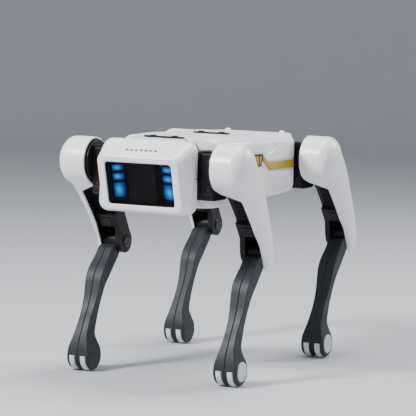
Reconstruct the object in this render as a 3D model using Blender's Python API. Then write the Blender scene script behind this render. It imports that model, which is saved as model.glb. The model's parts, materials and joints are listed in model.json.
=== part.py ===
"""Quadruped robot dog, 0.46 m long: a head with a smoked face window, a torso, and four legs of three joints.

Metres, +Z up. The head looks along -Y, the robot's left is +X, and z = 0 is the floor under the feet.
Every leg is the same: it is drawn once, for the left front, in "leg coordinates", where x and z are the
robot's and y is measured from that leg's hip axis. The right legs are its mirror image. The rear hips sit
a little lower, so the rear legs are bent a little more.
"""

import math

import bmesh
import bpy
from mathutils import Matrix, Vector

MM = 0.001

# ---- Driving dimensions, in millimetres -------------------------------------------------------------
BODY_SHIFT = -52.0  # moves the robot along Y so that the middle of its length stands on the origin
HIP_Y = {"front": -118.0, "rear": 173.0}
SWAY_X = 58.0  # the sideways hip axis, which runs along Y
SWAY_Z = 292.0
PITCH_Z = 300.0  # the fore-and-aft hip axis, which runs along X
THIGH_LENGTH = 150.6
THIGH_ANGLE = math.radians(36.2)  # from straight down, towards the tail
LEG_X = 116.0  # the middle plane of shank and foot
FOOT_Y = 8.0
FOOT_Z = 21.0
GAP = 0.3  # between pieces that touch
WALL = 2.3  # moulded shells

DRUM_RADIUS = 33.5  # the round top of the thigh cover
DRUM_RIM_X = 98.0
MOTOR_RADIUS = 30.3
FRAME_IN_X = 95.5
FORK_IN_X = 103.7
HUB_PLATE_X = (127.2, 129.8)
PIN_RADIUS = 4.0
PIN_END_X = 130.2
TREAD_RADIUS = 21.0
FOOT_WALL_RADIUS = 19.6
TREAD_IN, TREAD_OUT = 4.6, 13.2  # a tread's two sides, from the shank's middle plane

FACE_TILT = 0.2586  # how far the face recedes for each millimetre downwards
FACE_TOP_Y, FACE_TOP_Z = -177.6, 312.0
HEAD_REAR_Y = -133.0
WINDOW_HALF, WINDOW_LOW, WINDOW_HIGH = 51.0, 246.2, 304.4
SEAM_Z = 290.0
HIP_BLOCK_Y = (-13.5, 30.0)  # the hip housing's ends, from the fore-and-aft hip axis
HIP_BAY_X = 35.0
NECK_HALF = 44.0
TORSO_HALF = 86.0

LEGS = [(f"{end}_{side}", end, side) for end in ("front", "rear") for side in ("left", "right")]
KNEE_Y = THIGH_LENGTH * math.sin(THIGH_ANGLE)
KNEE_Z = PITCH_Z - THIGH_LENGTH * math.cos(THIGH_ANGLE)
HIP_DROP = {"front": 0.0, "rear": 3.5}

MATERIALS = {}
PIVOTS = {}


def clear_scene():
    for obj in list(bpy.data.objects):
        bpy.data.objects.remove(obj)


def make_material(name, colour, roughness, metallic=0.0):
    material = bpy.data.materials.new(name)
    material.use_nodes = True
    shader = material.node_tree.nodes["Principled BSDF"]
    shader.inputs["Base Color"].default_value = (*colour, 1.0)
    shader.inputs["Roughness"].default_value = roughness
    shader.inputs["Metallic"].default_value = metallic
    MATERIALS[name] = material


def make_materials():
    make_material("white_shell", (0.80, 0.80, 0.82), 0.35)
    make_material("black_plastic", (0.012, 0.012, 0.013), 0.5)
    make_material("graphite_shank", (0.045, 0.048, 0.055), 0.5)
    make_material("pale_rubber", (0.55, 0.56, 0.57), 0.7)
    make_material("silver_disc", (0.50, 0.53, 0.57), 0.35)
    make_material("smoked_glass", (0.02, 0.02, 0.022), 0.08)
    make_material("blue_light", (0.02, 0.45, 0.95), 0.3)
    make_material("yellow_trim", (0.62, 0.48, 0.06), 0.4)
    make_material("steel", (0.55, 0.55, 0.56), 0.3, 1.0)
    make_material("battery_wrap", (0.05, 0.06, 0.09), 0.5)
    make_material("circuit_green", (0.02, 0.16, 0.08), 0.5)


# ---- Shapes -----------------------------------------------------------------------------------------
def smooth_curve(keys, at):
    """The value at a place on a smooth curve through (place, value) keys."""
    if at <= keys[0][0]:
        return keys[0][1]
    for i in range(len(keys) - 1):
        (a, va), (b, vb) = keys[i], keys[i + 1]
        if at <= b:
            before = keys[i - 1] if i else keys[0]
            after = keys[i + 2] if i + 2 < len(keys) else keys[-1]
            slope_a = (vb - before[1]) / (b - before[0])
            slope_b = (after[1] - va) / (after[0] - a)
            t, span = (at - a) / (b - a), b - a
            return (
                (2 * t**3 - 3 * t**2 + 1) * va
                + (t**3 - 2 * t**2 + t) * span * slope_a
                + (3 * t**2 - 2 * t**3) * vb
                + (t**3 - t**2) * span * slope_b
            )
    return keys[-1][1]


def loft(rings, ring_of_rings=False):
    """A closed body through rings of equal length: capped at both ends, or joined end to end as a tube wall."""
    bm = bmesh.new()
    rows = [[bm.verts.new(Vector(point) * MM) for point in ring] for ring in rings]
    pairs = list(zip(rows, rows[1:]))
    if ring_of_rings:
        pairs.append((rows[-1], rows[0]))
    for one, two in pairs:
        for k in range(len(one)):
            after = (k + 1) % len(one)
            bm.faces.new((one[k], one[after], two[after], two[k]))
    if not ring_of_rings:
        bm.faces.new(rows[0])
        bm.faces.new(rows[-1])
    bmesh.ops.recalc_face_normals(bm, faces=bm.faces)
    return bm


def along(axis, position, u, v):
    """A point at a place along the named axis, with u and v on the two other axes in X, Y, Z order."""
    return {"X": (position, u, v), "Y": (u, position, v), "Z": (u, v, position)}[axis]


def prism(axis, outline, low, high):
    return loft([[along(axis, end, u, v) for u, v in outline] for end in (low, high)])


def circle(centre, radius, count=28):
    turn = 2 * math.pi / count
    return [
        (centre[0] + radius * math.cos(k * turn), centre[1] + radius * math.sin(k * turn))
        for k in range(count)
    ]


def turned(axis, centre, profile, count=28):
    """A turned body from (place along the axis, radius) pairs."""
    return loft([[along(axis, at, u, v) for u, v in circle(centre, r, count)] for at, r in profile])


def box(x, y, z):
    return prism("Z", [(x[0], y[0]), (x[1], y[0]), (x[1], y[1]), (x[0], y[1])], z[0], z[1])


def rounded_rectangle(half, low, high, radius, steps=3):
    """Points (x, z) round a rectangle with round corners, the same number whatever its size."""
    corners = [(half - radius, high - radius), (radius - half, high - radius)]
    corners += [(radius - half, low + radius), (half - radius, low + radius)]
    points = []
    for corner, (cx, cz) in enumerate(corners):
        for k in range(steps + 1):
            angle = math.pi / 2 * (corner + k / steps)
            points.append((cx + radius * math.cos(angle), cz + radius * math.sin(angle)))
    return points


def arc(centre, radius, start, end, steps):
    """Points on an arc between two angles in degrees."""
    return [
        (
            centre[0] + radius * math.cos(math.radians(start + (end - start) * k / steps)),
            centre[1] + radius * math.sin(math.radians(start + (end - start) * k / steps)),
        )
        for k in range(steps + 1)
    ]


# ---- Objects ----------------------------------------------------------------------------------------
def add_pivot(name, location, parent=None):
    """An empty at a place in the robot's own coordinates, in millimetres."""
    empty = bpy.data.objects.new(name, None)
    bpy.context.scene.collection.objects.link(empty)
    PIVOTS[name] = Vector(location)
    empty.parent = bpy.data.objects[parent] if parent else None
    start = PIVOTS[parent] if parent else Vector()
    empty.location = (PIVOTS[name] - start) * MM
    return empty


def add_object(name, bm, pivot, material=None):
    """Links a body drawn in the robot's coordinates. One with no material is a cutter."""
    bmesh.ops.translate(bm, verts=bm.verts, vec=-PIVOTS[pivot] * MM)
    mesh = bpy.data.meshes.new(name)
    bm.to_mesh(mesh)
    bm.free()
    obj = bpy.data.objects.new(name, mesh)
    bpy.context.scene.collection.objects.link(obj)
    obj.parent = bpy.data.objects[pivot]
    if material:
        mesh.materials.append(MATERIALS[material])
        mesh.shade_smooth()
        mesh.set_sharp_from_angle(angle=math.radians(35))
    else:
        obj.hide_render = True
        obj.display_type = "WIRE"
    return obj


def combine(obj, tools, pivot):
    """Adds a Boolean for each (operation, body) pair."""
    for number, (operation, bm) in enumerate(tools):
        modifier = obj.modifiers.new(f"{operation.lower()}_{number}", "BOOLEAN")
        modifier.operation = operation
        modifier.object = add_object(f"{obj.name}_tool_{number}", bm, pivot)
        modifier.solver = "EXACT"
    return obj


def turn_about(y, z, angle):
    """A turn about an axis along X through a place in leg coordinates."""
    to_axis = Matrix.Translation(Vector((0, y, z)) * MM)
    return to_axis @ Matrix.Rotation(angle, 4, "X") @ to_axis.inverted()


def leg_pose(end, segment):
    """How a leg's segment moves from where it is drawn: down with the hip, and bent to keep the foot in place."""
    drop = HIP_DROP[end]
    lowered = Matrix.Translation((0, 0, -drop * MM))
    if segment in ("body", "hip") or not drop:
        return lowered
    shank = math.hypot(KNEE_Y - FOOT_Y, KNEE_Z - FOOT_Z)
    reach = math.hypot(FOOT_Y, PITCH_Z - drop - FOOT_Z)
    at_hip = math.acos((THIGH_LENGTH**2 + reach**2 - shank**2) / (2 * THIGH_LENGTH * reach))
    thigh = at_hip + math.atan2(FOOT_Y, PITCH_Z - drop - FOOT_Z)
    thigh_turn = lowered @ turn_about(0, PITCH_Z, thigh - THIGH_ANGLE)
    if segment == "thigh":
        return thigh_turn
    knee = thigh_turn @ (Vector((0, KNEE_Y, KNEE_Z)) * MM)
    before = math.atan2(FOOT_Y - KNEE_Y, KNEE_Z - FOOT_Z)
    after = math.atan2(FOOT_Y * MM - knee.y, knee.z - FOOT_Z * MM)
    to_knee = Matrix.Translation(knee - Vector((0, KNEE_Y, KNEE_Z)) * MM)
    return to_knee @ turn_about(KNEE_Y, KNEE_Z, after - before)


def placed(bm, end, side, segment):
    """A copy of a leg body, moved from leg coordinates to one leg's place."""
    copy = bm.copy()
    bmesh.ops.transform(copy, verts=copy.verts, matrix=leg_pose(end, segment))
    if side == "right":
        bmesh.ops.transform(copy, verts=copy.verts, matrix=Matrix.Diagonal((-1, 1, 1, 1)))
        bmesh.ops.reverse_faces(copy, faces=copy.faces)
    bmesh.ops.translate(copy, verts=copy.verts, vec=(0, HIP_Y[end] * MM, 0))
    return copy


def add_to_legs(part, bm, material, segment, tools=(), ends=("front", "rear")):
    """One copy of a piece for each leg, on that leg's segment: body, hip, thigh or shank."""
    for leg, end, side in LEGS:
        if end in ends:
            pivot = "robot" if segment == "body" else f"{segment}_{leg}_axis"
            obj = add_object(f"{part}_{leg}", placed(bm, end, side, segment), pivot, material)
            combine(obj, [(operation, placed(tool, end, side, segment)) for operation, tool in tools], pivot)


def add_pivots():
    robot = add_pivot("robot", (0, 0, 0))
    robot.location = (0, BODY_SHIFT * MM, 0)
    for leg, end, side in LEGS:
        sign = 1 if side == "left" else -1
        y, drop = HIP_Y[end], HIP_DROP[end]
        knee = leg_pose(end, "thigh") @ (Vector((0, KNEE_Y, KNEE_Z)) * MM) / MM
        add_pivot(f"hip_{leg}_axis", (sign * SWAY_X, y, SWAY_Z - drop), "robot")
        add_pivot(f"thigh_{leg}_axis", (sign * DRUM_RIM_X, y, PITCH_Z - drop), f"hip_{leg}_axis")
        add_pivot(f"shank_{leg}_axis", (sign * LEG_X, y + knee.y, knee.z), f"thigh_{leg}_axis")


# ---- Leg: hip ---------------------------------------------------------------------------------------
def add_hip_motors():
    """The sideways hip motors are fixed in the torso; the face of each drives a hip housing's end."""
    for end in HIP_Y:
        face, away = (HIP_BLOCK_Y[1], 1) if end == "front" else (HIP_BLOCK_Y[0], -1)
        profile = [(0.6, 15.5), (3.6, 15.5), (3.7, 20.0), (37.4, 20.0)]
        body = turned("Y", (SWAY_X, SWAY_Z), [(face + away * step, r) for step, r in profile], 24)
        add_to_legs("hip_motor", body, "black_plastic", "body", ends=(end,))


def add_hip_housings():
    """A block that sways about its round inner side and carries the thigh's motor on its outer face."""
    start, end = HIP_BLOCK_Y
    core = turned("Y", (SWAY_X, SWAY_Z), [(start, 20.0), (start + 2, 22.0), (end - 2, 22.0), (end, 20.0)], 24)
    middle, half = (start + end) / 2, (end - start) / 2
    outline = [(middle + y, z) for y, z in rounded_rectangle(half, 255.0, 322.0, 4.0, 2)]
    block = prism("X", outline, 57.0, 94.2)
    flange = turned("X", (0, PITCH_Z), [(93.9, 29.6), (95.4, 29.6), (96.4, 28.6)], 28)
    add_to_legs("hip_housing", core, "black_plastic", "hip", [("UNION", block), ("UNION", flange)])


def add_pitch_motors():
    profile = [(96.7, MOTOR_RADIUS), (121.0, MOTOR_RADIUS), (124.6, 28.0), (124.7, 14.0), (126.9, 14.0)]
    body = turned("X", (0, PITCH_Z), profile)
    add_to_legs("pitch_motor", body, "black_plastic", "hip")


# ---- Leg: thigh -------------------------------------------------------------------------------------
def on_thigh(s, t, x):
    """A point a distance s along the thigh from the hip axis, and t across it towards the tail."""
    y = s * math.sin(THIGH_ANGLE) + t * math.cos(THIGH_ANGLE)
    z = PITCH_Z - s * math.cos(THIGH_ANGLE) + t * math.sin(THIGH_ANGLE)
    return (x, y, z)


COVER_BACK = [(0, 33.5), (40, 33.2), (82, 31.3), (125, 25.0), (148, 18.0), (160, 11.0), (167, 4.0), (173, -8.0)]
COVER_FRONT = [(24, -23.4), (44, -17.6), (98, -13.2), (132, -13.2), (158, -18.6), (166, -19.4), (173, -15.0)]
COVER_SIDE = [(0, 127.6), (60, 128.2), (155, 130.3), (173, 130.8)]  # where the flat side turns into the dome
COVER_BULGE = [(0, 19.4), (40, 17.0), (90, 11.4), (140, 7.0), (160, 6.2), (168, 4.6), (173, 2.2)]
DOME_POWER = 2.1


def cover_solid(inset, base_x):
    """The thigh cover's outer form, or its hollow where inset is the wall."""
    radius = DRUM_RADIUS - inset
    top = [-radius * math.cos(k * math.pi / 10) for k in range(5)]
    top[0] += 0.2
    down = [0.0, 12.0, 24.0, 44.0, 70.0, 98.0, 125.0, 148.0, 160.0, 167.0, 173.0 - inset]
    rings = []
    for s in top + down:
        on_circle = math.sqrt(max(radius**2 - s**2, 0.0))
        back = on_circle if s <= 0 else smooth_curve(COVER_BACK, s) - inset
        front = -on_circle if s < 24 else smooth_curve(COVER_FRONT, s) + inset
        side = smooth_curve(COVER_SIDE, s)
        rise = (1 - (abs(s) / radius) ** DOME_POWER) ** (1 / DOME_POWER) if s < 0 else 1.0
        bulge = max(smooth_curve(COVER_BULGE, s) * rise - inset * (1 if s < 160 else 0.5), 0.4)
        ring = [on_thigh(s, back, base_x)]
        for k in range(9):
            angle = math.pi * k / 8
            across = math.copysign(abs(math.cos(angle)) ** (2 / DOME_POWER), math.cos(angle))
            height = math.sin(angle) ** (2 / DOME_POWER) if 0 < k < 8 else 0.0
            middle, half = (back + front) / 2, (back - front) / 2
            ring.append(on_thigh(s, middle + across * half, side + height * bulge))
        ring.append(on_thigh(s, front, base_x))
        rings.append(ring)
    return loft(rings)


def add_thigh_covers():
    """A white shell: a drum round the motor that runs down into a long tapering plate."""
    trim = [(-60, 60.0), (-60, DRUM_RIM_X), (27, DRUM_RIM_X), (44, 126.0)]
    trim += [(108, 126.6), (128, 128.5), (200, 128.5), (200, 60.0)]
    edge = loft([[on_thigh(s, t, x) for s, x in trim] for t in (-70, 70)])
    pin_boss = turned("X", (KNEE_Y, KNEE_Z), [(PIN_END_X + GAP, 7.0), (135.0, 7.0)], 16)
    tools = [("DIFFERENCE", edge), ("DIFFERENCE", cover_solid(WALL, 70.0)), ("UNION", pin_boss)]
    add_to_legs("thigh_cover", cover_solid(0.0, 92.0), "white_shell", "thigh", tools)


def thigh_prism(outline, low, high):
    return loft([[on_thigh(s, t, x) for s, t in outline] for x in (low, high)])


def add_thigh_frames():
    """The black load-carrying link: a plate on the motor's output, a box below the drum, and a knee plate."""
    front = [(26, -13), (44, -4), (60, 0), (95, 2.6), (98.5, -4.2), (121, -4.2)]
    beam = [*front, (121, 20), (82, 25), (45, 26), (26, 25)]
    knee_end = arc((THIGH_LENGTH, 0.0), 17.0, -100, 100, 8)
    knee_plate = [(100, -4.2), (124, -4.2), (140, -14), *knee_end, (120, 20), (100, 22)]
    hub_plate = [*arc((0, 0), 24.0, 40, 320, 12), (30, -18), (44, -14.2), (70, -11.6), (98, -10), (119, -9.8)]
    hub_plate += [(119, 22), (82, 27.8), (45, 29.4), (28, 29.4)]
    knee_skin = [(110, -9.6), (132, -9.6), (150, -12.4), (159, -11), (163, -3)]
    knee_skin += [(160, 6), (148, 13.6), (125, 20.6), (110, 22)]
    rear_web = [(118, 13), (148, 13.4), (149, 17.2), (136, 18.2), (118, 19.8)]
    hub_clearance = turned("X", (0, PITCH_Z), [(80.0, 34.0), (HUB_PLATE_X[0], 34.0)], 28)
    bore = turned("X", (KNEE_Y, KNEE_Z), [(80.0, PIN_RADIUS + GAP), (140.0, PIN_RADIUS + GAP)], 16)
    tools = [
        ("DIFFERENCE", hub_clearance),
        ("UNION", thigh_prism(knee_plate, FRAME_IN_X, FORK_IN_X)),
        ("UNION", thigh_prism(rear_web, FRAME_IN_X + 1.0, 127.6)),
        ("UNION", thigh_prism(hub_plate, *HUB_PLATE_X)),
        ("UNION", thigh_prism(knee_skin, 128.3, HUB_PLATE_X[1] - 0.2)),
        ("DIFFERENCE", bore),
    ]
    add_to_legs("thigh_frame", thigh_prism(beam, FRAME_IN_X, 127.8), "black_plastic", "thigh", tools)


def add_knee_axles():
    head = [(93.7, 6.5), (94.2, 7.0), (FRAME_IN_X - GAP, 7.0)]
    shaft = [(FRAME_IN_X - GAP + 0.05, PIN_RADIUS), (PIN_END_X, PIN_RADIUS)]
    add_to_legs("knee_axle", turned("X", (KNEE_Y, KNEE_Z), head + shaft, 16), "steel", "thigh")


# ---- Leg: shank and foot ----------------------------------------------------------------------------
SHANK_FRONT = [(21, -12), (32, -10.8), (42, -8), (52, -4), (64, 2.5), (75, 8.5), (88, 16), (103, 23)]
SHANK_FRONT += [(118, 27.5), (131, 31.5), (143, 39), (156, 52), (165, 60), (172, 67.5), (174, 78), (184, 81), (189, 86)]
SHANK_BACK = [(21, 28), (32, 26.5), (42, 21.5), (52, 19.5), (64, 24), (75, 28.5), (88, 33), (103, 38)]
SHANK_BACK += [(118, 45), (131, 56), (143, 67.5), (156, 81), (165, 89), (172, 95), (180, 99), (184, 98), (189, 92)]
SHANK_WIDTH = [(0, 18.3), (21, 18.3), (30, 17.2), (42, 13.8), (52, 11.4), (64, 10.2), (76, 9.7), (90, 10.3)]
SHANK_WIDTH += [(110, 12), (130, 13), (143, 13), (152, 12.6), (160, 12.0), (190, 12.0)]


def shank_half(direction):
    """Half of the shank, on one side of the seam: a banana-shaped bar that swells into a round foot."""
    low = [FOOT_Z - FOOT_WALL_RADIUS * math.cos(math.radians(a)) for a in (8, 35, 63)]
    levels = low + [21.0, 32.0, 42.0, 52.0, 66.0, 88.0, 108.0, 125.0]
    levels += [143.0, 156.0, 172.0, 174.0, 184.0, 189.0]
    rings = []
    for z in levels:
        if z < FOOT_Z:
            reach = math.sqrt(FOOT_WALL_RADIUS**2 - (FOOT_Z - z) ** 2)
            front, back = FOOT_Y - reach, FOOT_Y + reach
        else:
            front, back = smooth_curve(SHANK_FRONT, z), smooth_curve(SHANK_BACK, z)
        width = smooth_curve(SHANK_WIDTH, z)
        bevel = min(2.6, (back - front) * 0.3)
        section = [(0.15, front), (width - bevel, front), (width, front + bevel), (width, back), (0.15, back)]
        rings.append([(LEG_X + direction * x, y, z) for x, y in section])
    return loft(rings)


def add_shanks():
    bore = turned("X", (KNEE_Y, KNEE_Z), [(80.0, PIN_RADIUS + GAP), (140.0, PIN_RADIUS + GAP)], 16)
    disc_seat = turned("X", (FOOT_Y, FOOT_Z), [(133.0, 14.2), (140.0, 14.2)], 24)
    for name, direction in (("shank_outer", 1), ("shank_inner", -1)):
        slot_x = sorted((LEG_X + direction * (TREAD_IN - GAP), LEG_X + direction * (TREAD_OUT + GAP)))
        slot = box(slot_x, (-40, 60), (-5, 23.0))
        tools = [("DIFFERENCE", slot), ("DIFFERENCE", bore)]
        if direction > 0:
            tools.append(("DIFFERENCE", disc_seat))
        add_to_legs(name, shank_half(direction), "graphite_shank", "shank", tools)


def add_foot_treads():
    """Each foot stands on two pale rubber half discs, let into slots in the shank halves."""
    centre = (FOOT_Y, FOOT_Z)
    for name, direction in (("foot_tread_outer", 1), ("foot_tread_inner", -1)):
        rings = []
        side = TREAD_RADIUS - 1.0
        for inset, radius in ((0.0, side), (1.0, TREAD_RADIUS), (7.6, TREAD_RADIUS), (8.6, side)):
            x = LEG_X + direction * (TREAD_IN + inset)
            start = math.degrees(math.asin((23.0 - GAP - FOOT_Z) / radius))
            rings.append([(x, y, z) for y, z in arc(centre, radius, start, -180 - start, 12)])
        add_to_legs(name, loft(rings), "pale_rubber", "shank")


def add_ankle_discs():
    disc = turned("X", (FOOT_Y, FOOT_Z), [(133.3, 13.9), (134.3, 13.9), (135.0, 13.1)], 24)
    add_to_legs("ankle_disc", disc, "silver_disc", "shank")


# ---- Torso ------------------------------------------------------------------------------------------
def torso_plan(tail_half):
    """(y, half width) of the torso: a slim neck between the front hips, wide pods, and a tail between the rear."""
    neck = [(-131.5, NECK_HALF - 2), (-128, NECK_HALF), (-86, NECK_HALF)]
    pods = [(-85.2, 66), (-82, 74), (-74, 79), (-50, 82), (5, TORSO_HALF), (149, TORSO_HALF), (154, 84.5), (157.5, 79)]
    return neck + pods + [(158.3, tail_half), (197, tail_half), (201, tail_half - 4)]


TOP_Z = [(-131.5, 334.5), (-98, 335.5), (-60, 335.7), (0, 335.2), (47, 334.2), (80, 333.8), (145, 332.5), (201, 330.5)]
BOTTOM_Z = [(-131.5, 239.0), (-60, 240.0), (60, 243.5), (145, 246.5), (201, 249.0)]


def torso_half(top, inset):
    """The torso above the seam, or below it: the outer form, or the hollow where inset is the wall."""
    sign = 1 if top else -1
    rings = []
    for y, width in torso_plan(60.0 if top else 34.5):
        crown = smooth_curve(TOP_Z if top else BOTTOM_Z, y) - sign * inset
        if inset:
            y = -140.0 if y < -130 else y + inset if y < -70 else y - inset if y > 148 else y
        fillet = min(15.0, width * 0.4)
        width -= inset
        edge = SEAM_Z - sign * (12.0 if inset else -0.15)
        corner = [
            (width - fillet * (1 - math.cos(a)), crown - sign * fillet * (1 - math.sin(a)))
            for a in (0.0, 0.5, 1.0)
        ]
        right = [(width, edge), *corner, (width - fillet * 1.4, crown)]
        rings.append([(x, y, z) for x, z in right + [(-x, z) for x, z in reversed(right)]])
    return loft(rings)


def bay_cutters(low, high):
    """Room for the hip housings to sway, and the holes that the hip motors pass through."""
    tools = []
    for sign in (1, -1):
        x = sorted((sign * HIP_BAY_X, sign * 110.0))
        for y in ((-160, -85.6), (158.0, 220)):
            tools.append(("DIFFERENCE", box(x, y, (low, high))))
        for end, start in (("front", -90), ("rear", 140)):
            axis = (sign * SWAY_X, SWAY_Z - HIP_DROP[end])
            tools.append(("DIFFERENCE", turned("Y", axis, [(start, 24.0), (start + 28, 24.0)], 24)))
    return tools


def add_shells():
    top = add_object("top_shell", torso_half(True, 0.0), "robot", "white_shell")
    combine(top, [("DIFFERENCE", torso_half(True, WALL)), *bay_cutters(250.0, 326.0)], "robot")
    belly = add_object("belly_shell", torso_half(False, 0.0), "robot", "white_shell")
    combine(belly, [("DIFFERENCE", torso_half(False, WALL)), *bay_cutters(250.5, 340.0)], "robot")


def add_tail_cover():
    outline = rounded_rectangle(29.0, 254.0, 323.0, 7.0, 2)
    steps = ((201.3, 1.0), (203.5, 1.0), (205.0, 0.94))
    rings = [[(x * k, y, (z - SEAM_Z) * k + SEAM_Z) for x, z in outline] for y, k in steps]
    add_object("tail_cover", loft(rings), "robot", "black_plastic")


def add_chassis():
    """The backbone: a tray with two bulkheads that the hip motors bolt to, and a plate at each end."""
    tools = [("UNION", box(x, (-124, 194), (262, 318))) for x in ((-30.5, -27.5), (27.5, 30.5))]
    tools += [
        ("UNION", box((-74, 74), (-49.6, -45), (262, 318))),
        ("UNION", box((-76, 76), (116.4, 121), (262, 318))),
        ("UNION", box((-30.5, 30.5), (-124, -119), (262, 318))),
        ("UNION", box((-30.5, 30.5), (190, 194), (262, 318))),
        ("UNION", box((-20, 20), (-142, -120), (264, 300))),
    ]
    spine = box((-30.5, 30.5), (-124, 194), (262, 268))
    combine(add_object("chassis", spine, "robot", "black_plastic"), tools, "robot")


def add_inside_parts():
    battery = rounded_rectangle(26.0, 268.6, 296.0, 4.0, 2)
    add_object("battery_pack", prism("Y", battery, -40, 92), "robot", "battery_wrap")
    add_object("main_board", box((-27, 27), (-38, 88), (303, 304.6)), "robot", "circuit_green")


def add_rails():
    """Black accessory rails across the back, each with two raised feet."""
    for name, y, half, z in (("front_rail", -98.0, 31.0, 336.0), ("rear_rail", 47.0, 28.5, 334.6)):
        right = [(half, 0), (half, 1.8), (20, 1.8), (19.2, 3.4), (13.8, 3.4), (13, 1.8)]
        outline = [(x, z + h) for x, h in right] + [(-x, z + h) for x, h in reversed(right)]
        add_object(name, prism("Y", outline, y - 3.2, y + 3.2), "robot", "black_plastic")


def add_stripes():
    """A yellow band along each side that steps up to a slanted badge behind the front leg."""
    band = [(38, 310.4), (60, 296.6), (152, 295.6), (152, 284.6), (67, 284.6), (43, 299.5), (38, 303)]
    outline = [(8, 310.6), *band, (34, 292), (24, 292)]
    for name, sign in (("side_stripe_left", 1), ("side_stripe_right", -1)):
        ends = sorted((sign * (TORSO_HALF + GAP), sign * (TORSO_HALF + 1.2)))
        add_object(name, prism("X", outline, *ends), "robot", "yellow_trim")


# ---- Head -------------------------------------------------------------------------------------------
def face_y(z, depth=0.0):
    """The face leans: its lower edge is further back."""
    return FACE_TOP_Y + (FACE_TOP_Z - z) * FACE_TILT + depth


def head_ring(half, low, high, radius, y_of):
    return [(x, y_of(z), z) for x, z in rounded_rectangle(half, low, high, radius, 3)]


def shoulder_y(z):
    """Where the head reaches its full size: further back at the top, over the sloping brow."""
    return -150.0 + 11.0 * max(0.0, (z - 300.0) / 35.0)


def window_ring(grow, depth):
    low, high = WINDOW_LOW - grow, WINDOW_HIGH + grow
    return head_ring(WINDOW_HALF + grow, low, high, 4.5, lambda z: face_y(z, depth))


def add_head_shell():
    """A lofted wall: from the opening in its back, over the brow to the window, and back inside."""
    rings = [
        head_ring(30.0, 258.0, 322.0, 3.0, lambda z: HEAD_REAR_Y),
        head_ring(70.5, 237.0, 333.0, 12.0, lambda z: HEAD_REAR_Y),
        head_ring(72.0, 235.0, 335.0, 14.0, lambda z: HEAD_REAR_Y - 2.5),
        head_ring(72.0, 235.0, 335.0, 15.0, lambda z: shoulder_y(z)),
        head_ring(70.5, 235.6, 333.5, 14.5, lambda z: shoulder_y(z) - 3.0),
        head_ring(62.5, 237.0, 314.0, 10.0, lambda z: face_y(z, 2.0)),
        head_ring(60.6, 238.6, 312.2, 9.0, lambda z: face_y(z)),
        window_ring(GAP + 0.5, 0.0),
        window_ring(GAP, 0.6),
        window_ring(GAP, 4.0),
        head_ring(59.5, 240.0, 309.5, 8.0, lambda z: face_y(z, 5.0)),
        head_ring(69.6, 237.4, 331.5, 13.0, lambda z: shoulder_y(z) + 1.0),
        head_ring(69.6, 237.4, 332.0, 12.0, lambda z: HEAD_REAR_Y - 2.6),
        head_ring(30.0, 258.0, 322.0, 3.0, lambda z: HEAD_REAR_Y - 2.6),
    ]
    add_object("head_shell", loft(rings, ring_of_rings=True), "robot", "white_shell")


def add_face_window():
    add_object("face_window", loft([window_ring(0.0, 1.0), window_ring(0.0, 3.2)]), "robot", "smoked_glass")


def add_light_housing():
    """A black tray behind the window, with a flat screen block in the middle and a light module on each side."""
    tray = loft([window_ring(1.2, 4.4), window_ring(1.2, 21.0)])
    hollow = loft([window_ring(-0.6, 3.4), window_ring(-0.6, 19.0)])
    screen = loft([head_ring(20.0, 249.0, 301.5, 1.5, lambda z, d=d: face_y(z, d)) for d in (11.0, 19.5)])
    obj = add_object("light_housing", tray, "robot", "black_plastic")
    combine(obj, [("DIFFERENCE", hollow), ("UNION", screen)], "robot")


LIGHT_BLOCKS = [(291.4, 301.4), (278.4, 289.2), (254.2, 276.2)]  # the low and high edge of each lit block


def add_eye_lights():
    """Three lit blocks on one carrier plate for each eye; their edges rise towards the middle of the face."""
    for name, sign in (("eye_light_left", 1), ("eye_light_right", -1)):
        plate_outline = [(28.0, 250.0), (48.2, 250.0), (48.2, 302.6), (28.0, 302.6)]
        plate = loft([[(sign * x, face_y(z, depth), z) for x, z in plate_outline] for depth in (16.7, 18.7)])
        tools = []
        for low, high in LIGHT_BLOCKS:
            rise = 2.2
            outline = [(31.0, low + rise), (47.0, low), (47.0, high - rise), (31.0, high)]
            block = loft([[(sign * x, face_y(z, depth), z) for x, z in outline] for depth in (12.5, 17.2)])
            tools.append(("UNION", block))
        combine(add_object(name, plate, "robot", "blue_light"), tools, "robot")


def main():
    clear_scene()
    make_materials()
    add_pivots()
    add_hip_motors()
    add_hip_housings()
    add_pitch_motors()
    add_thigh_covers()
    add_thigh_frames()
    add_knee_axles()
    add_shanks()
    add_foot_treads()
    add_ankle_discs()
    add_shells()
    add_tail_cover()
    add_chassis()
    add_inside_parts()
    add_rails()
    add_stripes()
    add_head_shell()
    add_face_window()
    add_light_housing()
    add_eye_lights()


main()
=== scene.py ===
"""Looks for the quadruped robot dog: moulded shells, ribbed leg frames, lit eye blocks, soft studio light.

Shapes are drawn in millimetres. Leg pieces are drawn once, for the left front leg, in leg coordinates:
x and z are the robot's, and y is measured from that leg's hip axis. Torso and head pieces measure y from
a plane BODY_SHIFT along the frame.
"""

import json
import math

import bmesh
import bpy
from mathutils import Matrix, Vector


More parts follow.
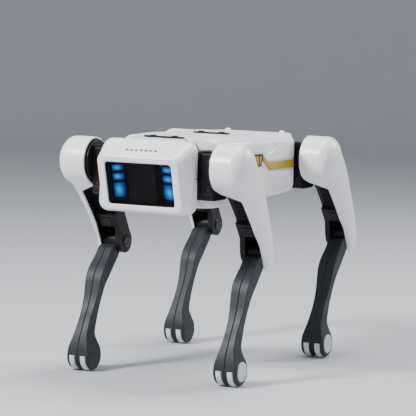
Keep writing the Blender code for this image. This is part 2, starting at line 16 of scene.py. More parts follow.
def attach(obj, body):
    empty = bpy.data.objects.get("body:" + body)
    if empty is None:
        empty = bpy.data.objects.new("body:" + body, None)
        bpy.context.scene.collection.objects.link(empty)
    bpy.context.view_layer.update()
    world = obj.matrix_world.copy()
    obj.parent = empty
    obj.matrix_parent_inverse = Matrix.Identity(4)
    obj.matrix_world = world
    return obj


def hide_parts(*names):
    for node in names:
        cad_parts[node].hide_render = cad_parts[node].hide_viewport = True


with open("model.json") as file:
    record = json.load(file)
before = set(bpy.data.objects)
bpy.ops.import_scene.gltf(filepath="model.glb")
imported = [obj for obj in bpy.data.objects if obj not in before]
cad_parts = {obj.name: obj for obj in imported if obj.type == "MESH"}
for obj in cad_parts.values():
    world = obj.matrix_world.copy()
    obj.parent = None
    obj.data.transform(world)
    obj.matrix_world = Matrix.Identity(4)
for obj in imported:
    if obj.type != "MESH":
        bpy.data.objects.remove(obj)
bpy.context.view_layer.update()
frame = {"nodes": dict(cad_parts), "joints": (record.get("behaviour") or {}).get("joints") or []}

MM = 0.001
JOINTS = {joint["name"]: joint for joint in frame["joints"]}
LEGS = [f"{end}_{side}" for end in ("front", "rear") for side in ("left", "right")]


def joint_place(name):
    """A joint's place in the frame, in millimetres."""
    return [value / MM for value in JOINTS[name]["pos_m"]]


# ---- Sizes shared with the CAD model ----------------------------------------------------------------
BODY_SHIFT = -52.0
PITCH_Z = 300.0
SWAY_X, SWAY_Z = 58.0, 292.0
THIGH_LENGTH = 150.6
THIGH_ANGLE = math.radians(36.2)
KNEE_Y = THIGH_LENGTH * math.sin(THIGH_ANGLE)
KNEE_Z = PITCH_Z - THIGH_LENGTH * math.cos(THIGH_ANGLE)
LEG_X = 116.0
FOOT_Y, FOOT_Z = 8.0, 21.0
DRUM_RADIUS = 33.5
DRUM_RIM_X = 98.0
HIP_START, HIP_END = -13.5, 30.0
LINK_FACE_X = 95.5
SEAM_Z = 290.0
FACE_TILT = 0.2586
FACE_TOP_Y, FACE_TOP_Z = -177.6, 312.0
HEAD_REAR_Y = -133.0
WINDOW_HALF, WINDOW_LOW, WINDOW_HIGH = 51.0, 246.2, 304.4
WELD_DISTANCE = 2e-5  # in metres


# ---- Materials --------------------------------------------------------------------------------------
GLOSS_CHANGE = 0.12
COAT_ROUGHNESS = 0.12
GRAIN_HEIGHT = 0.0001
STRIPE_CONTRAST = 0.07


def new_material(name):
    material = bpy.data.materials.new(name)
    material.use_nodes = True
    nodes, links = material.node_tree.nodes, material.node_tree.links
    return material, nodes, links, nodes["Principled BSDF"]


def noise(nodes, links, scale, detail=2.0, stretch=(1, 1, 1)):
    """A noise pattern fixed to the piece, with scale in waves per metre."""
    place = nodes.new("ShaderNodeTexCoord")
    mapping = nodes.new("ShaderNodeMapping")
    mapping.inputs["Scale"].default_value = stretch
    pattern = nodes.new("ShaderNodeTexNoise")
    pattern.inputs["Scale"].default_value = scale
    pattern.inputs["Detail"].default_value = detail
    links.new(place.outputs["Object"], mapping.inputs["Vector"])
    links.new(mapping.outputs["Vector"], pattern.inputs["Vector"])
    return pattern.outputs["Fac"]


def spread(nodes, links, value, low, high):
    """The pattern's middle range spread from low to high."""
    remap = nodes.new("ShaderNodeMapRange")
    remap.inputs["From Min"].default_value = 0.3
    remap.inputs["From Max"].default_value = 0.7
    remap.inputs["To Min"].default_value = low
    remap.inputs["To Max"].default_value = high
    links.new(value, remap.inputs["Value"])
    return remap.outputs["Result"]


def two_tones(nodes, links, value, first, second):
    """A colour that drifts from one tone to the other with the pattern's value."""
    mix = nodes.new("ShaderNodeMix")
    mix.data_type = "RGBA"
    mix.inputs["A"].default_value = (*first, 1)
    mix.inputs["B"].default_value = (*second, 1)
    links.new(spread(nodes, links, value, 0.0, 1.0), mix.inputs["Factor"])
    return mix.outputs["Result"]


def maths(nodes, links, operation, *values):
    """A maths node's result. Each value is a number or another node's output."""
    node = nodes.new("ShaderNodeMath")
    node.operation = operation
    for socket, value in zip(node.inputs, values):
        if isinstance(value, float):
            socket.default_value = value
        else:
            links.new(value, socket)
    return node.outputs[0]


def moulded(name, colour, roughness, grain=1400.0, bump=0.24, tint=0.06, coat=0.0, metallic=0.0, shine=0.5):
    """Moulded plastic, rubber or metal: a fine surface grain, with slow changes in tone and gloss."""
    material, nodes, links, shader = new_material(name)
    darker = [c * (1 - tint) for c in colour]
    paler = [min(1.0, c * (1 + tint)) for c in colour]
    tone = two_tones(nodes, links, noise(nodes, links, 14.0, 3.0), darker, paler)
    links.new(tone, shader.inputs["Base Color"])
    patchy = noise(nodes, links, 60.0, 4.0)
    smoothest, roughest = roughness * (1 - GLOSS_CHANGE), roughness * (1 + GLOSS_CHANGE)
    links.new(spread(nodes, links, patchy, smoothest, roughest), shader.inputs["Roughness"])
    grain_bump = nodes.new("ShaderNodeBump")
    grain_bump.inputs["Strength"].default_value = bump
    grain_bump.inputs["Distance"].default_value = GRAIN_HEIGHT
    links.new(noise(nodes, links, grain, 3.0), grain_bump.inputs["Height"])
    links.new(grain_bump.outputs["Normal"], shader.inputs["Normal"])
    shader.inputs["Metallic"].default_value = metallic
    shader.inputs["Specular IOR Level"].default_value = shine
    shader.inputs["Coat Weight"].default_value = coat
    shader.inputs["Coat Roughness"].default_value = COAT_ROUGHNESS
    return material


def smoked_window(name):
    """Clear smoked plastic: a slightly uneven tint and a faint haze."""
    material, nodes, links, shader = new_material(name)
    tone = two_tones(nodes, links, noise(nodes, links, 9.0), (0.36, 0.37, 0.39), (0.42, 0.43, 0.45))
    links.new(tone, shader.inputs["Base Color"])
    haze = noise(nodes, links, 45.0, 4.0)
    links.new(spread(nodes, links, haze, 0.015, 0.04), shader.inputs["Roughness"])
    shader.inputs["Transmission Weight"].default_value = 1.0
    shader.inputs["IOR"].default_value = 1.13
    shader.inputs["Specular IOR Level"].default_value = 0.3
    return material


def glowing(name, strength):
    """A lit diffuser: bright cyan in the middle of each block, deep blue towards its edges."""
    material, nodes, links, shader = new_material(name)
    place = nodes.new("ShaderNodeTexCoord")
    split = nodes.new("ShaderNodeSeparateXYZ")
    links.new(place.outputs["Generated"], split.inputs["Vector"])
    squares = []
    for axis in ("X", "Z"):
        centred = maths(nodes, links, "SUBTRACT", split.outputs[axis], 0.5)
        size = maths(nodes, links, "ABSOLUTE", centred)
        squares.append(maths(nodes, links, "POWER", size, 2.0))
    from_middle = maths(nodes, links, "ADD", *squares)
    stripes = noise(nodes, links, 260.0, 1.0, (1, 0.05, 0.15))
    edge = maths(nodes, links, "MULTIPLY_ADD", stripes, STRIPE_CONTRAST, from_middle)
    ramp = nodes.new("ShaderNodeValToRGB")
    stops = ramp.color_ramp.elements
    stops[0].position, stops[0].color = 0.02, (0.0, 0.62, 0.92, 1)
    stops[1].position, stops[1].color = 0.30, (0.0, 0.03, 0.22, 1)
    stops.new(0.12).color = (0.0, 0.20, 0.72, 1)
    links.new(edge, ramp.inputs["Fac"])
    links.new(ramp.outputs["Color"], shader.inputs["Emission Color"])
    shader.inputs["Base Color"].default_value = (0.0, 0.02, 0.05, 1)
    shader.inputs["Emission Strength"].default_value = strength
    shader.inputs["Roughness"].default_value = 0.3
    return material


WHITE = moulded("white_shell_look", (0.80, 0.80, 0.815), 0.36, bump=0.16, tint=0.015, coat=0.15)
BLACK = moulded("black_plastic_look", (0.008, 0.008, 0.009), 0.42, bump=0.4, tint=0.25, shine=0.2)
SATIN_BLACK = moulded("black_satin_look", (0.014, 0.014, 0.015), 0.30, bump=0.16, tint=0.2, shine=0.3)
GRAPHITE = moulded("graphite_look", (0.022, 0.024, 0.030), 0.50, bump=0.4, tint=0.10, shine=0.25)
RUBBER = moulded("pale_rubber_look", (0.62, 0.63, 0.64), 0.72, grain=2200.0, bump=0.64, tint=0.05)
SILVER = moulded("silver_disc_look", (0.50, 0.55, 0.62), 0.34, bump=0.16, tint=0.04, metallic=0.25)
DARK_STEEL = moulded("dark_steel_look", (0.10, 0.10, 0.105), 0.36, bump=0.24, tint=0.1, metallic=1.0)
YELLOW = moulded("yellow_trim_look", (0.40, 0.275, 0.012), 0.38, bump=0.24, tint=0.10)
GREY = moulded("pale_grey_look", (0.42, 0.43, 0.44), 0.45, bump=0.24, tint=0.04)
WRAP = moulded("battery_wrap_look", (0.03, 0.05, 0.10), 0.4, grain=500.0, bump=0.48, tint=0.15)
BOARD = moulded("circuit_look", (0.012, 0.10, 0.05), 0.35, grain=700.0, bump=0.64, tint=0.3)
WINDOW = smoked_window("smoked_window_look")
GLOW = glowing("blue_light_look", 2.0)


# ---- Shapes: a shape is (list of points in mm, list of faces) ---------------------------------------
def smooth_curve(keys, at):
    """The value at a place on a smooth curve through (place, value) keys."""
    if at <= keys[0][0]:
        return keys[0][1]
    for i in range(len(keys) - 1):
        (a, va), (b, vb) = keys[i], keys[i + 1]
        if at <= b:
            before = keys[i - 1] if i else keys[0]
            after = keys[i + 2] if i + 2 < len(keys) else keys[-1]
            slope_a = (vb - before[1]) / (b - before[0])
            slope_b = (after[1] - va) / (after[0] - a)
            t, span = (at - a) / (b - a), b - a
            return (
                (2 * t**3 - 3 * t**2 + 1) * va
                + (t**3 - 2 * t**2 + t) * span * slope_a
                + (3 * t**2 - 2 * t**3) * vb
                + (t**3 - t**2) * span * slope_b
            )
    return keys[-1][1]


def smooth_step(low, high, value):
    t = min(max((value - low) / (high - low), 0.0), 1.0)
    return t * t * (3 - 2 * t)


def spaced(low, high, step):
    count = max(1, round(abs(high - low) / step))
    return [low + (high - low) * i / count for i in range(count + 1)]


def grid(rows, closed_rows=False, closed_ring=False, caps=False):
    """Faces between rows of equal length. Each row is a ring, and rows may join end to end, or be capped."""
    width = len(rows[0])
    points = [p for row in rows for p in row]
    faces = []
    for i in range(len(rows) if closed_rows else len(rows) - 1):
        j = (i + 1) % len(rows)
        for k in range(width if closed_ring else width - 1):
            n = (k + 1) % width
            faces.append((i * width + k, i * width + n, j * width + n, j * width + k))
    if caps:
        last = (len(rows) - 1) * width
        faces.append(tuple(range(width))[::-1])
        faces.append(tuple(last + k for k in range(width)))
    return points, faces


def join(*shapes):
    points, faces = [], []
    for shape_points, shape_faces in shapes:
        start = len(points)
        points += shape_points
        faces += [tuple(start + v for v in face) for face in shape_faces]
    return points, faces


def along(axis, position, u, v):
    return {"X": (position, u, v), "Y": (u, position, v), "Z": (u, v, position)}[axis]


def prism(axis, outline, low, high):
    rows = [[along(axis, end, u, v) for u, v in outline] for end in (low, high)]
    return grid(rows, closed_ring=True, caps=True)


def box(x, y, z):
    return prism("Z", [(x[0], y[0]), (x[1], y[0]), (x[1], y[1]), (x[0], y[1])], z[0], z[1])


def circle(centre, radius, count=48):
    turns = [2 * math.pi * k / count for k in range(count)]
    return [(centre[0] + radius * math.cos(a), centre[1] + radius * math.sin(a)) for a in turns]


def turned(axis, centre, profile, count=48):
    """A turned body from (place along the axis, radius) pairs."""
    rows = [[along(axis, at, u, v) for u, v in circle(centre, r, count)] for at, r in profile]
    return grid(rows, closed_ring=True, caps=True)


def screw(axis, centre, at, facing, radius):
    """A low screw head facing up or down its axis, and a flat black hexagon flush with its top: painted shade
    for its six-sided socket.
    """
    head = [(-0.6, radius), (0.5, radius), (0.8, radius * 0.82)]
    shape = turned(axis, centre, [(at + facing * step, r) for step, r in head], 20)
    # painted shade: the socket is a black hexagon reaching just past the head's top, not a hollow
    socket = [(at + facing * step, r) for step, r in [(0.81, radius * 0.5), (0.2, radius * 0.45)]]
    return shape, turned(axis, centre, socket, 6)


def screw_set(screws):
    """The heads of several screws as one shape, and the painted shade of their sockets, flat black hexagons,
    as another.
    """
    heads, socket_shades = zip(*[screw(*values) for values in screws])
    return join(*heads), join(*socket_shades)


def rounded_rectangle(half, low, high, radius, steps=3):
    corners = [(half - radius, high - radius), (radius - half, high - radius)]
    corners += [(radius - half, low + radius), (half - radius, low + radius)]
    points = []
    for corner, (cx, cz) in enumerate(corners):
        for k in range(steps + 1):
            angle = math.pi / 2 * (corner + k / steps)
            points.append((cx + radius * math.cos(angle), cz + radius * math.sin(angle)))
    return points


def arc(centre, radius, start, end, steps):
    angles = [math.radians(start + (end - start) * k / steps) for k in range(steps + 1)]
    return [(centre[0] + radius * math.cos(a), centre[1] + radius * math.sin(a)) for a in angles]


# ---- Pieces -----------------------------------------------------------------------------------------
def add_piece(name, shape, material, body, replaces=(), wall=0.0, bevel=0.0, bevel_angle=35.0):
    """One object from a shape in the robot's coordinates. Where wall is set, an open surface gets a wall."""
    points, faces = shape
    mesh = bpy.data.meshes.new(name)
    mesh.from_pydata([(x * MM, (y + BODY_SHIFT) * MM, z * MM) for x, y, z in points], [], faces)
    bm = bmesh.new()
    bm.from_mesh(mesh)
    bmesh.ops.remove_doubles(bm, verts=bm.verts, dist=WELD_DISTANCE)
    bmesh.ops.recalc_face_normals(bm, faces=bm.faces)
    bm.to_mesh(mesh)
    bm.free()
    mesh.shade_smooth()
    mesh.materials.append(material)
    obj = bpy.data.objects.new(name, mesh)
    bpy.context.scene.collection.objects.link(obj)
    if wall:
        solid = obj.modifiers.new("wall", "SOLIDIFY")
        solid.thickness = wall * MM
        solid.offset = -1
    if bevel:
        edges = obj.modifiers.new("bevel", "BEVEL")
        edges.width = bevel * MM
        edges.segments = 3
        edges.limit_method = "ANGLE"
        edges.angle_limit = math.radians(bevel_angle)
        edges.use_clamp_overlap = True
        normals = obj.modifiers.new("normals", "WEIGHTED_NORMAL")
        normals.keep_sharp = True
    else:
        mesh.set_sharp_from_angle(angle=math.radians(bevel_angle))
    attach(obj, body)
    for node in replaces:
        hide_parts(node)
    return obj


def leg_place(leg, joint):
    """(y, z) of a leg's joint, in the coordinates that shapes are drawn in."""
    _, y, z = joint_place(f"{leg}_{joint}")
    return y - BODY_SHIFT, z


def turn_about(y, z, angle):
    to_axis = Matrix.Translation((0, y, z))
    return to_axis @ Matrix.Rotation(angle, 4, "X") @ to_axis.inverted()


def leg_pose(leg, segment):
    """From where a leg piece is drawn to that leg's place, on its left side."""
    hip_y, hip_z = leg_place(leg, "hip_pitch")
    knee_y, knee_z = leg_place(leg, "knee")
    lowered = Matrix.Translation((0, hip_y, hip_z - PITCH_Z))
    if segment == "hip":
        return lowered
    if segment == "thigh":
        thigh = math.atan2(knee_y - hip_y, hip_z - knee_z)
        return lowered @ turn_about(0, PITCH_Z, thigh - THIGH_ANGLE)
    before = math.atan2(FOOT_Y - KNEE_Y, KNEE_Z - FOOT_Z)
    after = math.atan2(hip_y + FOOT_Y - knee_y, knee_z - FOOT_Z)
    to_knee = Matrix.Translation((0, knee_y - KNEE_Y, knee_z - KNEE_Z))
    return to_knee @ turn_about(KNEE_Y, KNEE_Z, after - before)


def add_to_legs(part, shape, material, segment, replaces=(), **options):
    """A piece for each leg, on that leg's segment: hip, thigh or shank."""
    points, faces = shape
    for leg in LEGS:
        matrix = leg_pose(leg, segment)
        if leg.endswith("right"):
            matrix = Matrix.Diagonal((-1, 1, 1, 1)) @ matrix
        moved = [tuple(matrix @ Vector(p)) for p in points]
        stood_for = [f"{node}_{leg}" for node in replaces]
        add_piece(f"{part}_{leg}", (moved, faces), material, f"{segment}_{leg}", stood_for, **options)


def add_leg_screws(part, screws, segment):
    heads, socket_shades = screw_set(screws)
    add_to_legs(f"{part}_screws", heads, DARK_STEEL, segment, bevel_angle=30)
    # black hexagons on the heads: painted shade of the screw sockets
    add_to_legs(f"{part}_sockets", socket_shades, BLACK, segment, bevel_angle=30)


# ---- Leg: thigh -------------------------------------------------------------------------------------
def on_thigh(s, t, x):
    """A point a distance s along the thigh from the hip axis, and t across it towards the tail."""
    y = s * math.sin(THIGH_ANGLE) + t * math.cos(THIGH_ANGLE)
    z = PITCH_Z - s * math.cos(THIGH_ANGLE) + t * math.sin(THIGH_ANGLE)
    return (x, y, z)


COVER_END = 173.0
COVER_BACK = [(0, 33.5), (40, 33.2), (82, 31.3), (125, 25.0), (148, 18.0), (160, 11.0), (167, 4.0)]
COVER_BACK += [(COVER_END, -8.0)]
COVER_FRONT = [(24, -23.4), (44, -17.6), (98, -13.2), (132, -13.2), (158, -18.6), (166, -19.4)]
COVER_FRONT += [(COVER_END, -15.0)]
COVER_SIDE = [(0, 127.6), (60, 128.2), (155, 130.3), (COVER_END, 130.8)]
COVER_BULGE = [(0, 19.4), (40, 17.0), (90, 11.4), (140, 7.0), (160, 6.2), (168, 4.6), (COVER_END, 2.2)]
COVER_EDGE = [(27, DRUM_RIM_X), (44, 126.0), (108, 126.6), (128, 128.5)]
LEAST_BULGE = 0.4
DOME_POWER = 2.1
DOME_STEPS, WALL_STEPS = 40, 6
RIB_COUNT, RIB_PITCH = 7, 4.4


def cover_edge_x(s):
    """The cover's inner edge: the drum's rim, a slanted step under the drum, then along the frame."""
    for (a, xa), (b, xb) in zip(COVER_EDGE, COVER_EDGE[1:]):
        if s < b:
            return xa if s < a else xa + (xb - xa) * (s - a) / (b - a)
    return COVER_EDGE[-1][1]


def cover_ring(s):
    """The cover's section at s: up the back wall, over the bulged side, and down the front wall."""
    on_circle = math.sqrt(max(DRUM_RADIUS**2 - s**2, 0.0))
    back = on_circle if s <= 0 else smooth_curve(COVER_BACK, s)
    front = -on_circle if s < COVER_FRONT[0][0] else smooth_curve(COVER_FRONT, s)
    middle, half = (back + front) / 2, (back - front) / 2
    side = smooth_curve(COVER_SIDE, s)
    rise = (1 - (abs(s) / DRUM_RADIUS) ** DOME_POWER) ** (1 / DOME_POWER) if s < 0 else 1.0
    bulge = max(smooth_curve(COVER_BULGE, s) * rise, LEAST_BULGE)
    edge = cover_edge_x(s)
    wall = [edge + (side - edge) * k / WALL_STEPS for k in range(WALL_STEPS)]
    ring = [on_thigh(s, back, x) for x in wall]
    for k in range(DOME_STEPS + 1):
        angle = math.pi * k / DOME_STEPS
        across = math.copysign(abs(math.cos(angle)) ** (2 / DOME_POWER), math.cos(angle))
        height = math.sin(angle) ** (2 / DOME_POWER) if 0 < k < DOME_STEPS else 0.0
        ring.append(on_thigh(s, middle + across * half, side + height * bulge))
    return ring + [on_thigh(s, front, x) for x in reversed(wall)]


def zip_cap(row):
    """Closes the narrow gap between the two sides of an end ring."""
    last = len(row) - 1
    return row, [(k, k + 1, last - k - 1, last - k) for k in range(last // 2)]


def add_thigh_covers():
    top = [-DRUM_RADIUS * math.cos(k * math.pi / 40) for k in range(20)]
    top[0] += 0.02  # the first ring keeps a little width
    rows = [cover_ring(s) for s in top + spaced(0, COVER_END, 2.6)]
    shell = join(grid(rows), zip_cap(rows[0]), zip_cap(rows[-1]))
    edges = {"wall": 2.3, "bevel": 0.45, "bevel_angle": 55}
    add_to_legs("thigh_cover_shell", shell, WHITE, "thigh", ["thigh_cover"], **edges)
    profile = [(131.5, 7.0), (134.6, 7.0), (135.8, 6.2), (136.3, 4.6), (136.5, 2.0)]
    cap = turned("X", (KNEE_Y + 4, KNEE_Z - 8), profile, 40)
    add_to_legs("knee_cap", cap, WHITE, "thigh", bevel=0.3)


def thigh_prism(outline, low, high):
    return grid([[on_thigh(s, t, x) for s, t in outline] for x in (low, high)], closed_ring=True, caps=True)


def add_thigh_frames():
    """The black link: a box below the drum with cooling ribs on its front, and a plate down to the knee."""
    knee_plate = [(97, -3.6), (124, -4.2), (140, -14), *arc((THIGH_LENGTH, 0.0), 17.0, -100, 100, 24)]
    knee_plate += [(120, 20), (96, 23)]
    beam = [(30, -9), (44, -4), (60, 0), (95, 2.6), (98.5, -4.2), (121, -4.2)]
    beam += [(121, 20), (82, 25), (45, 26), (34, 25)]
    rail_front = [(40, -5.2), (60, -0.6), (93, 2.2), (93, 6.0), (60, 3.4), (40, -1)]
    rail_back = [(40, 21.5), (82, 20.5), (100, 17.5), (100, 22), (82, 25), (44, 26)]
    bridge = [(88, 4), (101, 0), (101, 20), (88, 22)]
    hub_plate = [*arc((0, 0), 24.0, 40, 320, 40), (30, -18), (44, -14.2), (70, -11.6), (98, -10)]
    hub_plate += [(119, -9.8), (119, 22), (82, 27.8), (45, 29.4), (28, 29.4)]
    skin = [(110, -9.6), (132, -9.6), (150, -12.4), (159, -11), (163, -3)]
    skin += [(160, 6), (148, 13.6), (125, 20.6), (110, 22)]
    rear_web = [(118, 13), (148, 13.4), (149, 17.2), (136, 18.2), (118, 19.8)]
    layers = [
        (knee_plate, 95.5, 103.7),
        (beam, 97.4, 126.4),
        (rail_front, LINK_FACE_X, 98.4),
        (rail_back, LINK_FACE_X, 98.4),
        (bridge, LINK_FACE_X, 98.4),
        (hub_plate, 127.2, 129.8),
        (skin, 128.3, 129.6),
        (rear_web, 96.5, 127.6),
    ]
    body = join(*[thigh_prism(outline, low, high) for outline, low, high in layers])
    add_to_legs("thigh_link", body, BLACK, "thigh", ["thigh_frame"], bevel=0.5)
    panel = [(36, 0), (58, 4), (93, 7), (108, 2), (117, 4), (117, 16), (84, 20), (50, 21), (38, 18)]
    add_to_legs("thigh_panel", thigh_prism(panel, 96.6, 97.8), SATIN_BLACK, "thigh", bevel=0.4)
    ribs = []
    for k in range(RIB_COUNT):
        s = 61 + RIB_PITCH * k
        t = (s - 60) * 2.6 / 35  # the beam's front edge at the rib
        rib = [(s, t - 1.3), (s + 1.9, t - 1.2), (s + 1.9, t + 1.5), (s, t + 1.5)]
        ribs.append(thigh_prism(rib, 100.5, 121.5))
    ribs.append(thigh_prism([(104, -5.0), (118, -5.0), (118, -3), (104, -3)], 106, 123))
    add_to_legs("thigh_ribs", join(*ribs), BLACK, "thigh", bevel=0.3)
    places = [on_thigh(s, t, 0)[1:] for s, t in ((46, 9), (70, 12), (104, 10))]
    add_leg_screws("thigh", [("X", place, 96.2, -1, 1.9) for place in places], "thigh")
    profile = [(95.0, 9.0), (94.2, 8.6), (93.7, 7.0), (93.8, 5.2), (94.3, 5.0), (94.3, 0.5)]
    cap = turned("X", (KNEE_Y, KNEE_Z), profile, 40)
    pin = turned("X", (KNEE_Y, KNEE_Z), [(94.6, 4.0), (130.2, 4.0)], 32)
    add_to_legs("knee_pin", join(cap, pin), SATIN_BLACK, "thigh", ["knee_axle"], bevel=0.2)


# ---- Leg: hip ---------------------------------------------------------------------------------------
def add_hips():
    """A block on the sway axis, with trim and screws, and a round flange for the pitch motor."""
    start, end = HIP_START, HIP_END
    middle, half = (start + end) / 2, (end - start) / 2
    barrel = [(start, 20.0), (start + 2, 22.0), (end - 2, 22.0), (end, 20.0)]
    core = turned("Y", (SWAY_X, SWAY_Z), barrel, 56)
    outline = [(middle + y, z) for y, z in rounded_rectangle(half, 255.0, 322.0, 4.5, 6)]
    waist = [(middle + (y - middle) * 0.97, SWAY_Z + (z - SWAY_Z) * 0.975) for y, z in outline]
    steps = [(57.0, outline), (72.0, outline), (72.6, waist), (74.4, waist), (75.0, outline), (94.0, outline)]
    block = grid([[(x, y, z) for y, z in ring] for x, ring in steps], closed_ring=True, caps=True)
    flange = turned("X", (0, PITCH_Z), [(93.9, 29.6), (95.6, 29.6), (96.3, 28.8), (96.4, 26.0)], 72)
    hip = join(core, block, flange)
    add_to_legs("hip_block", hip, BLACK, "hip", ["hip_housing"], bevel=0.6, bevel_angle=30)
    trim = [box((76 + 3.4 * k, 77.8 + 3.4 * k), (start - 0.9, start + 6), (320.0, 323.4)) for k in range(5)]
    trim += [box((x, x + 1.6), (start - 0.7, start + 2), (262, 314)) for x in (78.5, 90.5)]
    trim.append(box((80, 90.6), (start - 0.5, start + 2), (262, 266)))
    add_to_legs("hip_trim", join(*trim), SATIN_BLACK, "hip", bevel=0.25)
    places = ((66, 316), (66, 261), (86.5, 310), (86.5, 270))
    screws = [("Y", place, at, facing, 1.7) for place in places for at, facing in ((start, -1), (end, 1))]
    add_leg_screws("hip", screws, "hip")


# ---- Leg: shank and foot ----------------------------------------------------------------------------
SHANK_FRONT = [(21, -12), (32, -10.8), (42, -8), (52, -4), (64, 2.5), (75, 8.5), (88, 16), (103, 23)]
SHANK_FRONT += [(118, 27.5), (131, 31.5), (143, 39), (156, 52), (165, 60), (172, 67.5), (174, 78)]
SHANK_FRONT += [(184, 81), (189, 86)]
SHANK_BACK = [(21, 28), (32, 26.5), (42, 21.5), (52, 19.5), (64, 24), (75, 28.5), (88, 33), (103, 38)]
SHANK_BACK += [(118, 45), (131, 56), (143, 67.5), (156, 81), (165, 89), (172, 95), (180, 99)]
SHANK_BACK += [(184, 98), (189, 92)]
SHANK_WIDTH = [(0, 18.3), (21, 18.3), (30, 17.2), (42, 13.8), (52, 11.4), (64, 10.2), (76, 9.7), (90, 10.3)]
SHANK_WIDTH += [(110, 12), (130, 13), (143, 13), (152, 12.6), (160, 12.0), (190, 12.0)]
SHANK_SCREWS = ((146, 13, -1, 2.6), (56, 8, -1, 2.6), (112, 9, 1, 2.0))  # height, from the back, side, radius
SLIT_HALF = 0.15
SHELL_TOP = 174.2
CUT_Z = 23.0
WALL_RADIUS, TREAD_RADIUS = 19.6, 21.0
TREAD_INNER, TREAD_OUTER = 4.8, 12.6
TREAD_GROOVES, GROOVE_DEPTH = 5, 0.28


def shank_half(direction, levels):
    """Half of the shank, on one side of the slit down its middle, through sections at the given heights."""
    rows = []
    for z in levels:
        front, back = smooth_curve(SHANK_FRONT, z), smooth_curve(SHANK_BACK, z)
        width = smooth_curve(SHANK_WIDTH, z)
        bevel = 1.7 + 2.4 * (1 - smooth_step(CUT_Z, 42, z))
        hollow = 0.9 * smooth_step(50, 70, z) * (1 - smooth_step(130, 150, z))
        middle = (front + back) / 2
        section = [(SLIT_HALF, front + 0.7), (0.75, front), (width - bevel, front)]
        section += [(width - bevel * 0.35, front + bevel * 0.2), (width, front + bevel * 0.8)]
        section += [(width - hollow * 0.7, middle)]
        section += [(width, back - bevel * 0.8), (width - bevel * 0.35, back - bevel * 0.2)]
        section += [(width - bevel, back), (0.75, back), (SLIT_HALF, back - 0.7)]
        rows.append([(LEG_X + direction * x, y, z) for x, y in section])
    return grid(rows, closed_ring=True, caps=True)


def foot_ring(radius, top):
    """(y, z) places round the foot's centre, from the cut behind it, under it and up to the cut in front."""
    start = math.degrees(math.asin((top - FOOT_Z) / radius))
    return arc((FOOT_Y, FOOT_Z), radius, start, -180 - start, 44)


def foot_slice(direction, low, high, radius, top=CUT_Z, rim=0.8):
    """A part of the foot below the cut, as a slice of a disc with a softened rim on its far side."""
    steps = ((0.6, low), (0.0, low + 0.6), (0.0, high - rim), (rim * 0.3, high - rim * 0.4), (rim, high))
    rows = [[(LEG_X + direction * x, y, z) for y, z in foot_ring(radius - inset, top)] for inset, x in steps]
    return grid(rows, closed_ring=True, caps=True)


def tread(direction):
    """A pale rubber half ring with fine grooves round it."""
    rows = []
    steps = 30
    for k in range(steps + 1):
        x = TREAD_INNER + (TREAD_OUTER - TREAD_INNER) * k / steps
        edge = min(k, steps - k) / steps * (TREAD_OUTER - TREAD_INNER)
        round_off = 1.1 * (1 - min(edge / 1.3, 1.0)) ** 2
        wave = 0.5 - 0.5 * math.cos(2 * math.pi * TREAD_GROOVES * k / steps)
        groove = GROOVE_DEPTH * wave if 3 < k < steps - 3 else 0.0
        ring = foot_ring(TREAD_RADIUS - round_off - groove, CUT_Z - 0.3)
        rows.append([(LEG_X + direction * x, y, z) for y, z in ring])
    return grid(rows, closed_ring=True, caps=True)


def add_shanks():
    edges = {"bevel": 0.35, "bevel_angle": 40}
    for name, direction in (("outer", 1), ("inner", -1)):
        inner_wall = foot_slice(direction, SLIT_HALF, 4.2, WALL_RADIUS)
        outer_wall = foot_slice(direction, 13.6, 18.2, WALL_RADIUS + 0.2, rim=3.4)
        leg = shank_half(direction, spaced(CUT_Z, 171.0, 3.0) + [172.0, 173.0, SHELL_TOP])
        half = join(leg, inner_wall, outer_wall)
        add_to_legs(f"shank_{name}_shell", half, GRAPHITE, "shank", [f"shank_{name}"], **edges)
        tongue = shank_half(direction, [SHELL_TOP + 0.1, *spaced(176.5, 187.0, 2.4), 188.6])
        add_to_legs(f"shank_{name}_tongue", tongue, BLACK, "shank", **edges)
        core = foot_slice(direction, 3.9, 14.0, 15.0, 22.0)
        add_to_legs(f"foot_core_{name}", core, BLACK, "shank", bevel=0.2)
        rubber = tread(direction)
        add_to_legs(f"tread_{name}", rubber, RUBBER, "shank", [f"foot_tread_{name}"], bevel_angle=60)
    barrel = turned("X", (KNEE_Y, KNEE_Z), [(104.1, 11.2), (104.6, 11.8), (127.4, 11.8), (127.9, 11.2)], 48)
    add_to_legs("knee_barrel", barrel, BLACK, "shank", bevel_angle=30)
    wells, screws = [], []
    for z, from_back, side, radius in SHANK_SCREWS:
        y = smooth_curve(SHANK_BACK, z) - from_back
        x = LEG_X + side * (smooth_curve(SHANK_WIDTH, z) - 0.6 * (50 < z < 140))
        well = [(-1.5, radius + 0.9), (0.35, radius + 0.7), (0.35, radius), (-0.5, radius * 0.9), (-0.5, 0.3)]
        wells.append(turned("X", (y, z), [(x + side * step, r) for step, r in well], 28))
        head = [(x + side * step, radius * 0.8) for step in (-0.8, -0.1)]
        screws.append(turned("X", (y, z), head, 6))
    add_to_legs("shank_screw_wells", join(*wells), BLACK, "shank", bevel_angle=30)
    add_to_legs("shank_screws", join(*screws), DARK_STEEL, "shank", bevel_angle=30)
    profile = [(133.2, 13.9), (134.3, 13.9), (134.9, 13.3), (135.0, 12.4)]
    profile += [(134.6, 11.6), (134.6, 3.0), (134.8, 2.2), (134.8, 0.4)]
    disc = turned("X", (FOOT_Y, FOOT_Z), profile, 64)
    add_to_legs("ankle_badge", disc, SILVER, "shank", ["ankle_disc"], bevel_angle=50)


